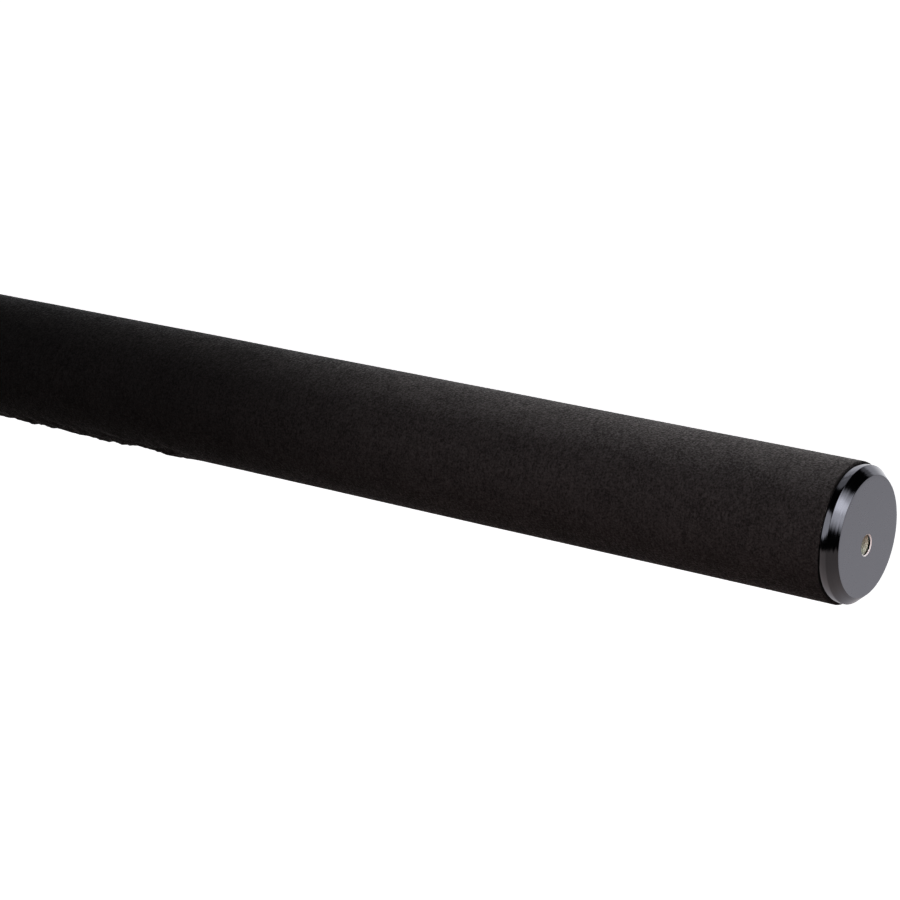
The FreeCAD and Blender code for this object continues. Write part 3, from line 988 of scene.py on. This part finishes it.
class BOOMPOLE_OT_stage(bpy.types.Operator):
    """Pale floor, soft studio light and the camera"""

    bl_idname = "boom_pole.stage"
    bl_label = "Stage"

    def execute(self, context):
        given = context.scene.boom_pole_stage
        self.make_floor(given)
        self.make_surroundings(context.scene, given)
        near_cap = (0.03, 0.0, 0.0)
        # each lamp's place, size, power, spread in degrees and colour
        grip_lamps = {
            "rim_key": ((0.06, -0.30, 0.34), 0.24, given.key_power, 64, (1.0, 0.95, 0.93)),
            "front_soft": ((-0.15, 0.35, 0.35), 0.30, given.front_power, 64, (1.0, 0.92, 0.93)),
            "warm_fill": ((-0.20, 0.50, -0.06), 0.44, given.fill_power, 56, (1.0, 0.55, 0.5)),
        }
        for name, (place, size, power, spread, colour) in grip_lamps.items():
            self.make_lamp(name, place, near_cap, size, power, spread, colour)
        couplings = (0.5 * (span("collar_grip_1")[0] + span("tip_stud")[1]), 0.0, 0.0)
        white = (1.0, 0.99, 0.98)
        coupling_lamps = {"left_box": (0.42, 0.20), "right_box": (-0.42, 0.20), "top_box": (0.0, 0.46)}
        for name, (side, height) in coupling_lamps.items():
            place = (couplings[0] + 0.06, side, height)
            self.make_lamp(name, place, couplings, 0.26, given.couplings_power, 60, white, True)
        self.make_camera(context.scene, given)
        context.scene.view_settings.view_transform = "Standard"
        return {"FINISHED"}

    def make_floor(self, given):
        material, tree, shader, position = new_finish("Studio floor", Roughness=0.9)
        cloud = grain(tree, position, (0.6, 0.6, 0.6), 2.0)
        tint(tree, shader, cloud, 0.3, 0.7, (0.90, 0.90, 0.90), (0.93, 0.93, 0.93))
        shader.inputs["Emission Color"].default_value = (1, 1, 1, 1)
        shader.inputs["Emission Strength"].default_value = 0.85
        size, count = 24.0, 12
        points = [
            (size * (i / count - 0.5), size * (j / count - 0.5), -given.floor_drop)
            for j in range(count + 1)
            for i in range(count + 1)
        ]
        faces = []
        for j in range(count):
            for i in range(count):
                corner = j * (count + 1) + i
                faces.append((corner, corner + 1, corner + count + 2, corner + count + 1))
        floor = new_object("studio_floor", points, faces)
        floor.data.materials.append(material)
        floor.visible_glossy = False
        floor.visible_diffuse = False

    def make_lamp(self, name, place, aim, size, power, spread, colour, mirrored=False):
        """A round lamp. Polished faces show its disc only if it is mirrored."""
        lamp = bpy.data.lights.new(name, "AREA")
        lamp.shape = "DISK"
        lamp.size = size
        lamp.energy = power
        lamp.color = colour
        lamp.spread = math.radians(spread)
        made = bpy.data.objects.new(name, lamp)
        made.visible_glossy = mirrored
        made.location = place
        direction = Vector(aim) - Vector(place)
        made.rotation_euler = direction.to_track_quat("-Z", "Y").to_euler()
        bpy.context.scene.collection.objects.link(made)

    def lobe(self, tree, direction, azimuth, elevation, inner, outer, strength):
        """A round soft light in the surroundings, full inside inner degrees and gone at outer."""
        a, e = math.radians(azimuth), math.radians(elevation)
        centre = (math.cos(a) * math.cos(e), math.sin(a) * math.cos(e), math.sin(e))
        aligned = put(tree, "ShaderNodeVectorMath", {0: direction, 1: centre}, operation="DOT_PRODUCT")
        near, far = math.cos(math.radians(inner)), math.cos(math.radians(outer))
        return ramp_between(tree, aligned.outputs["Value"], far, near, 0.0, strength)

    def make_surroundings(self, scene, given):
        world = bpy.data.worlds.new("studio")
        world.use_nodes = True
        scene.world = world
        tree = world.node_tree
        background = tree.nodes["Background"]
        direction = tree.nodes.new("ShaderNodeTexCoord").outputs["Generated"]
        along, _, height = put(tree, "ShaderNodeSeparateXYZ", {0: direction}).outputs
        # the floor's glow begins below the horizon and grows to the back and the front end
        toward_back = put(
            tree, "ShaderNodeVectorMath", {0: direction, 1: (0.25, -0.97, 0.0)}, operation="DOT_PRODUCT"
        ).outputs["Value"]
        ground = times(
            tree,
            ramp_between(tree, height, -0.22, -0.3),
            ramp_between(tree, toward_back, -0.8, 0.6, 0.15, 0.38),
            ramp_between(tree, along, -0.3, 0.5, 1.0, 1.45),
        )
        # one wide pale panel behind the pole, brightest in its middle
        behind = sum_of(
            tree,
            self.lobe(tree, direction, -62, 8, 38, 44, given.backdrop * 0.6),
            self.lobe(tree, direction, -62, 8, 20, 32, given.backdrop * 0.4),
            self.lobe(tree, direction, -62, 8, 48, 53, given.backdrop * 0.25),
        )
        level = sum_of(
            tree,
            times(tree, behind, ramp_between(tree, height, -0.46, -0.3)),
            self.lobe(tree, direction, -28, 60, 8, 14, given.backdrop * 0.35),
            # a low panel that the cap's face mirrors
            self.lobe(tree, direction, -116, -16, 14, 26, given.backdrop * 0.5),
            # a dish past the cap, with a brighter middle
            self.lobe(tree, direction, 166, 32, 8, 31, given.dish * 0.62),
            self.lobe(tree, direction, 166, 38, 2, 13, given.dish * 0.42),
            self.lobe(tree, direction, 50, 19.5, 16, 22, given.side_box),
            0.003,
        )
        tree.links.new(level, background.inputs["Strength"])
        background.inputs["Color"].default_value = (1.0, 1.0, 1.03, 1.0)
        # matt faces get less of the floor's glow than mirroring ones, and the camera sees a pale wall
        path = tree.nodes.new("ShaderNodeLightPath")
        soft_share = ramp_between(tree, path.outputs["Is Diffuse Ray"], 0.0, 1.0, 1.0, 0.45)
        glow = times(tree, ground, soft_share)
        # the floor's glow is warm in front of the pole and neutral behind it
        green = ramp_between(tree, toward_back, -0.2, 0.7, 0.87, 0.96)
        blue = ramp_between(tree, toward_back, -0.2, 0.7, 0.8, 0.98)
        glow_colour = put(tree, "ShaderNodeCombineXYZ", {0: 1.0, 1: green, 2: blue}).outputs[0]
        floor_glow = put(tree, "ShaderNodeBackground", {"Color": glow_colour, "Strength": glow})
        lit = put(tree, "ShaderNodeAddShader", {0: background.outputs[0], 1: floor_glow.outputs[0]})
        pale = put(tree, "ShaderNodeBackground", {"Color": (1, 1, 1, 1), "Strength": 1.0})
        mixed = put(
            tree,
            "ShaderNodeMixShader",
            {0: path.outputs["Is Camera Ray"], 1: lit.outputs[0], 2: pale.outputs[0]},
        )
        tree.links.new(mixed.outputs[0], tree.nodes["World Output"].inputs["Surface"])

    def make_camera(self, scene, given):
        camera = bpy.data.objects.new("camera", bpy.data.cameras.new("camera"))
        camera.data.lens = given.lens
        camera.data.sensor_width = 36.0
        camera.data.clip_start, camera.data.clip_end = 0.01, 100.0
        from_face = Vector((-0.32289, 0.64644, 0.2442))
        across = Vector((-0.8134, -0.5817, 0.0)).normalized()
        forward = Vector((0.556, -0.7774, -0.2941)).normalized()
        up = across.cross(forward).normalized()
        placed = Matrix((across, up, -forward)).transposed().to_4x4()
        face = Vector((span("end_cap")[0], 0.0, 0.0))
        placed.translation = face + from_face
        camera.matrix_world = placed
        scene.collection.objects.link(camera)
        scene.camera = camera


class BOOMPOLE_PT_sidebar(bpy.types.Panel):
    """Sizes, colours and pieces of the boom pole"""

    bl_idname = "BOOMPOLE_PT_sidebar"
    bl_label = "Boom Pole"
    bl_space_type = "VIEW_3D"
    bl_region_type = "UI"
    bl_category = "Boom Pole"

    def draw(self, context):
        for setting, operator in STEPS:
            box = self.layout.box()
            box.operator(f"boom_pole.{operator}")
            group = getattr(context.scene, f"boom_pole_{setting}")
            for name in group.__annotations__:
                box.prop(group, name)


STEPS = (
    ("finishes", "finishes"),
    ("grip", "foam_grip"),
    ("cap", "end_cap"),
    ("collars", "collar_grips"),
    ("tip", "tip_stud"),
    ("stage", "stage"),
)
GROUPS = {
    "grip": BoomPoleGrip,
    "cap": BoomPoleCap,
    "collars": BoomPoleCollars,
    "tip": BoomPoleTip,
    "finishes": BoomPoleFinishes,
    "stage": BoomPoleStage,
}
CLASSES = (
    *GROUPS.values(),
    BOOMPOLE_OT_foam_grip,
    BOOMPOLE_OT_end_cap,
    BOOMPOLE_OT_collar_grips,
    BOOMPOLE_OT_tip_stud,
    BOOMPOLE_OT_finishes,
    BOOMPOLE_OT_stage,
    BOOMPOLE_PT_sidebar,
)


def register():
    for entry in CLASSES:
        bpy.utils.register_class(entry)
    for setting, group in GROUPS.items():
        setattr(bpy.types.Scene, f"boom_pole_{setting}", PointerProperty(type=group))


def unregister():
    for setting in GROUPS:
        delattr(bpy.types.Scene, f"boom_pole_{setting}")
    for entry in reversed(CLASSES):
        bpy.utils.unregister_class(entry)


def main():
    register()
    for _, operator in STEPS:
        getattr(bpy.ops.boom_pole, operator)()


if __name__ == "__main__":
    main()
